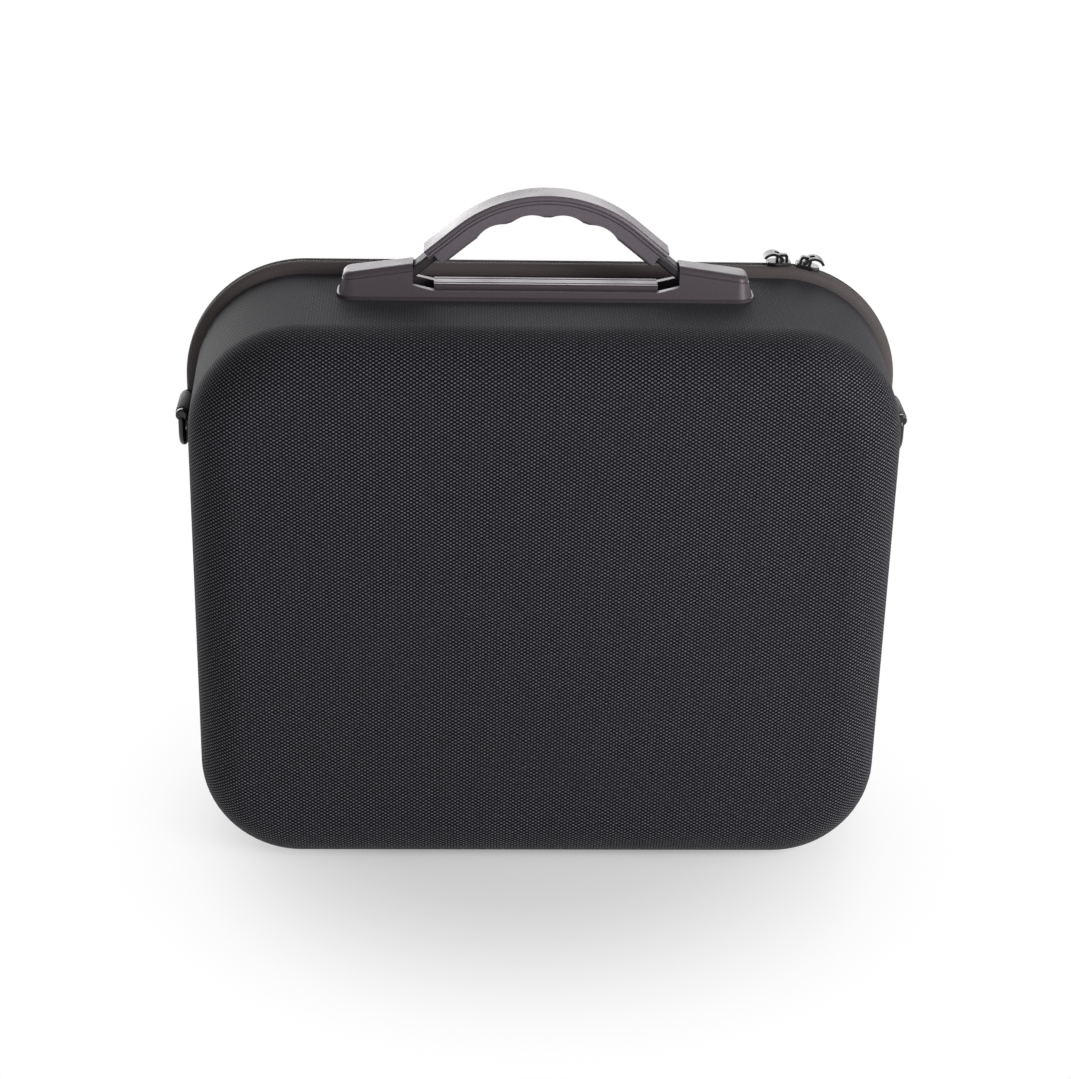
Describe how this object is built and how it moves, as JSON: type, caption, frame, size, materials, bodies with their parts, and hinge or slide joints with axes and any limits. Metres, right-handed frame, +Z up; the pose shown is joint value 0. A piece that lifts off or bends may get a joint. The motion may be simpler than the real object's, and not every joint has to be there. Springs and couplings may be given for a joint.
{
  "type": "portable game console case",
  "caption": "Upright zip-up hard case with rounded moulded shells in woven nylon, an arched carrying handle, strap rings and a padded insert for a console and its accessories.",
  "frame": {"origin": "bottom centre of the case's bounding box, on the surface that the case stands on", "axes": "+X to the right along the case's width, +Y from the front face to the lid, +Z up"},
  "size_m": [0.3558, 0.13, 0.3304],
  "materials": {
    "woven_nylon": "coarse black ballistic weave",
    "zipper_tape": "smooth woven tape",
    "zipper_teeth": "satin nylon coil",
    "slider_metal": "glossy gunmetal",
    "handle_plastic": "satin moulded",
    "grip_rubber": "satin moulded",
    "plate_steel": "zinc plated",
    "webbing": "ribbed webbing",
    "ring_plastic": "glossy black",
    "insert_foam": "short-pile cloth over foam",
    "pocket_mesh": "net fabric"
  },
  "bodies": {
    "front": {"front_shell": "woven_nylon", "zipper_tape_front": "zipper_tape", "zipper_teeth_front": "zipper_teeth", "hinge_strip": "zipper_tape", "handle_base": "handle_plastic", "handle_backing_plate": "plate_steel", "handle_screws": "plate_steel", "strap_loop_left": "webbing", "strap_loop_right": "webbing", "foam_insert": "insert_foam"},
    "lid": {"rear_shell": "woven_nylon", "zipper_tape_rear": "zipper_tape", "zipper_teeth_rear": "zipper_teeth", "mesh_pocket": "pocket_mesh"},
    "handle": {"handle_strap": "handle_plastic", "handle_grip": "grip_rubber"},
    "slider_left": {"slider_left": "slider_metal"},
    "slider_right": {"slider_right": "slider_metal"},
    "pull_left": {"pull_left": "slider_metal"},
    "pull_right": {"pull_right": "slider_metal"},
    "ring_left": {"strap_ring_left": "ring_plastic"},
    "ring_right": {"strap_ring_right": "ring_plastic"}
  },
  "joints": [
    {"name": "lid_hinge", "type": "hinge", "parent": "front", "child": "lid", "pos_m": [0, 0.0295, 0.00195], "axis": [-1, 0, 0], "range_deg": [0, 75], "deforming": ["hinge_strip"]},
    {"name": "handle_play", "type": "slide", "parent": "front", "child": "handle", "axis": [0, 0, 1], "range_m": [-0.002, 0], "stiffness_N_per_m": 4000},
    {"name": "slider_left_run", "type": "slide", "parent": "front", "child": "slider_left", "axis": [-1, 0, 0], "range_m": [0, 0.22]},
    {"name": "slider_right_run", "type": "hinge", "parent": "front", "child": "slider_right", "pos_m": [0.115, 0.0295, 0.226], "axis": [0, 1, 0], "range_deg": [0, 72]},
    {"name": "pull_left_flip", "type": "hinge", "parent": "slider_left", "child": "pull_left", "pos_m": [0.116, 0.0295, 0.28907], "axis": [0, 1, 0], "range_deg": [0, 100]},
    {"name": "pull_right_flip", "type": "hinge", "parent": "slider_right", "child": "pull_right", "pos_m": [0.1277, 0.0295, 0.2878], "axis": [0, -1, 0], "range_deg": [0, 100]},
    {"name": "ring_left_swing", "type": "hinge", "parent": "front", "child": "ring_left", "pos_m": [-0.17452, 0.008, 0.2185], "axis": [0, 1, 0], "range_deg": [0, 150]},
    {"name": "ring_right_swing", "type": "hinge", "parent": "front", "child": "ring_right", "pos_m": [0.17452, 0.008, 0.2185], "axis": [0, -1, 0], "range_deg": [0, 150]}
  ]
}
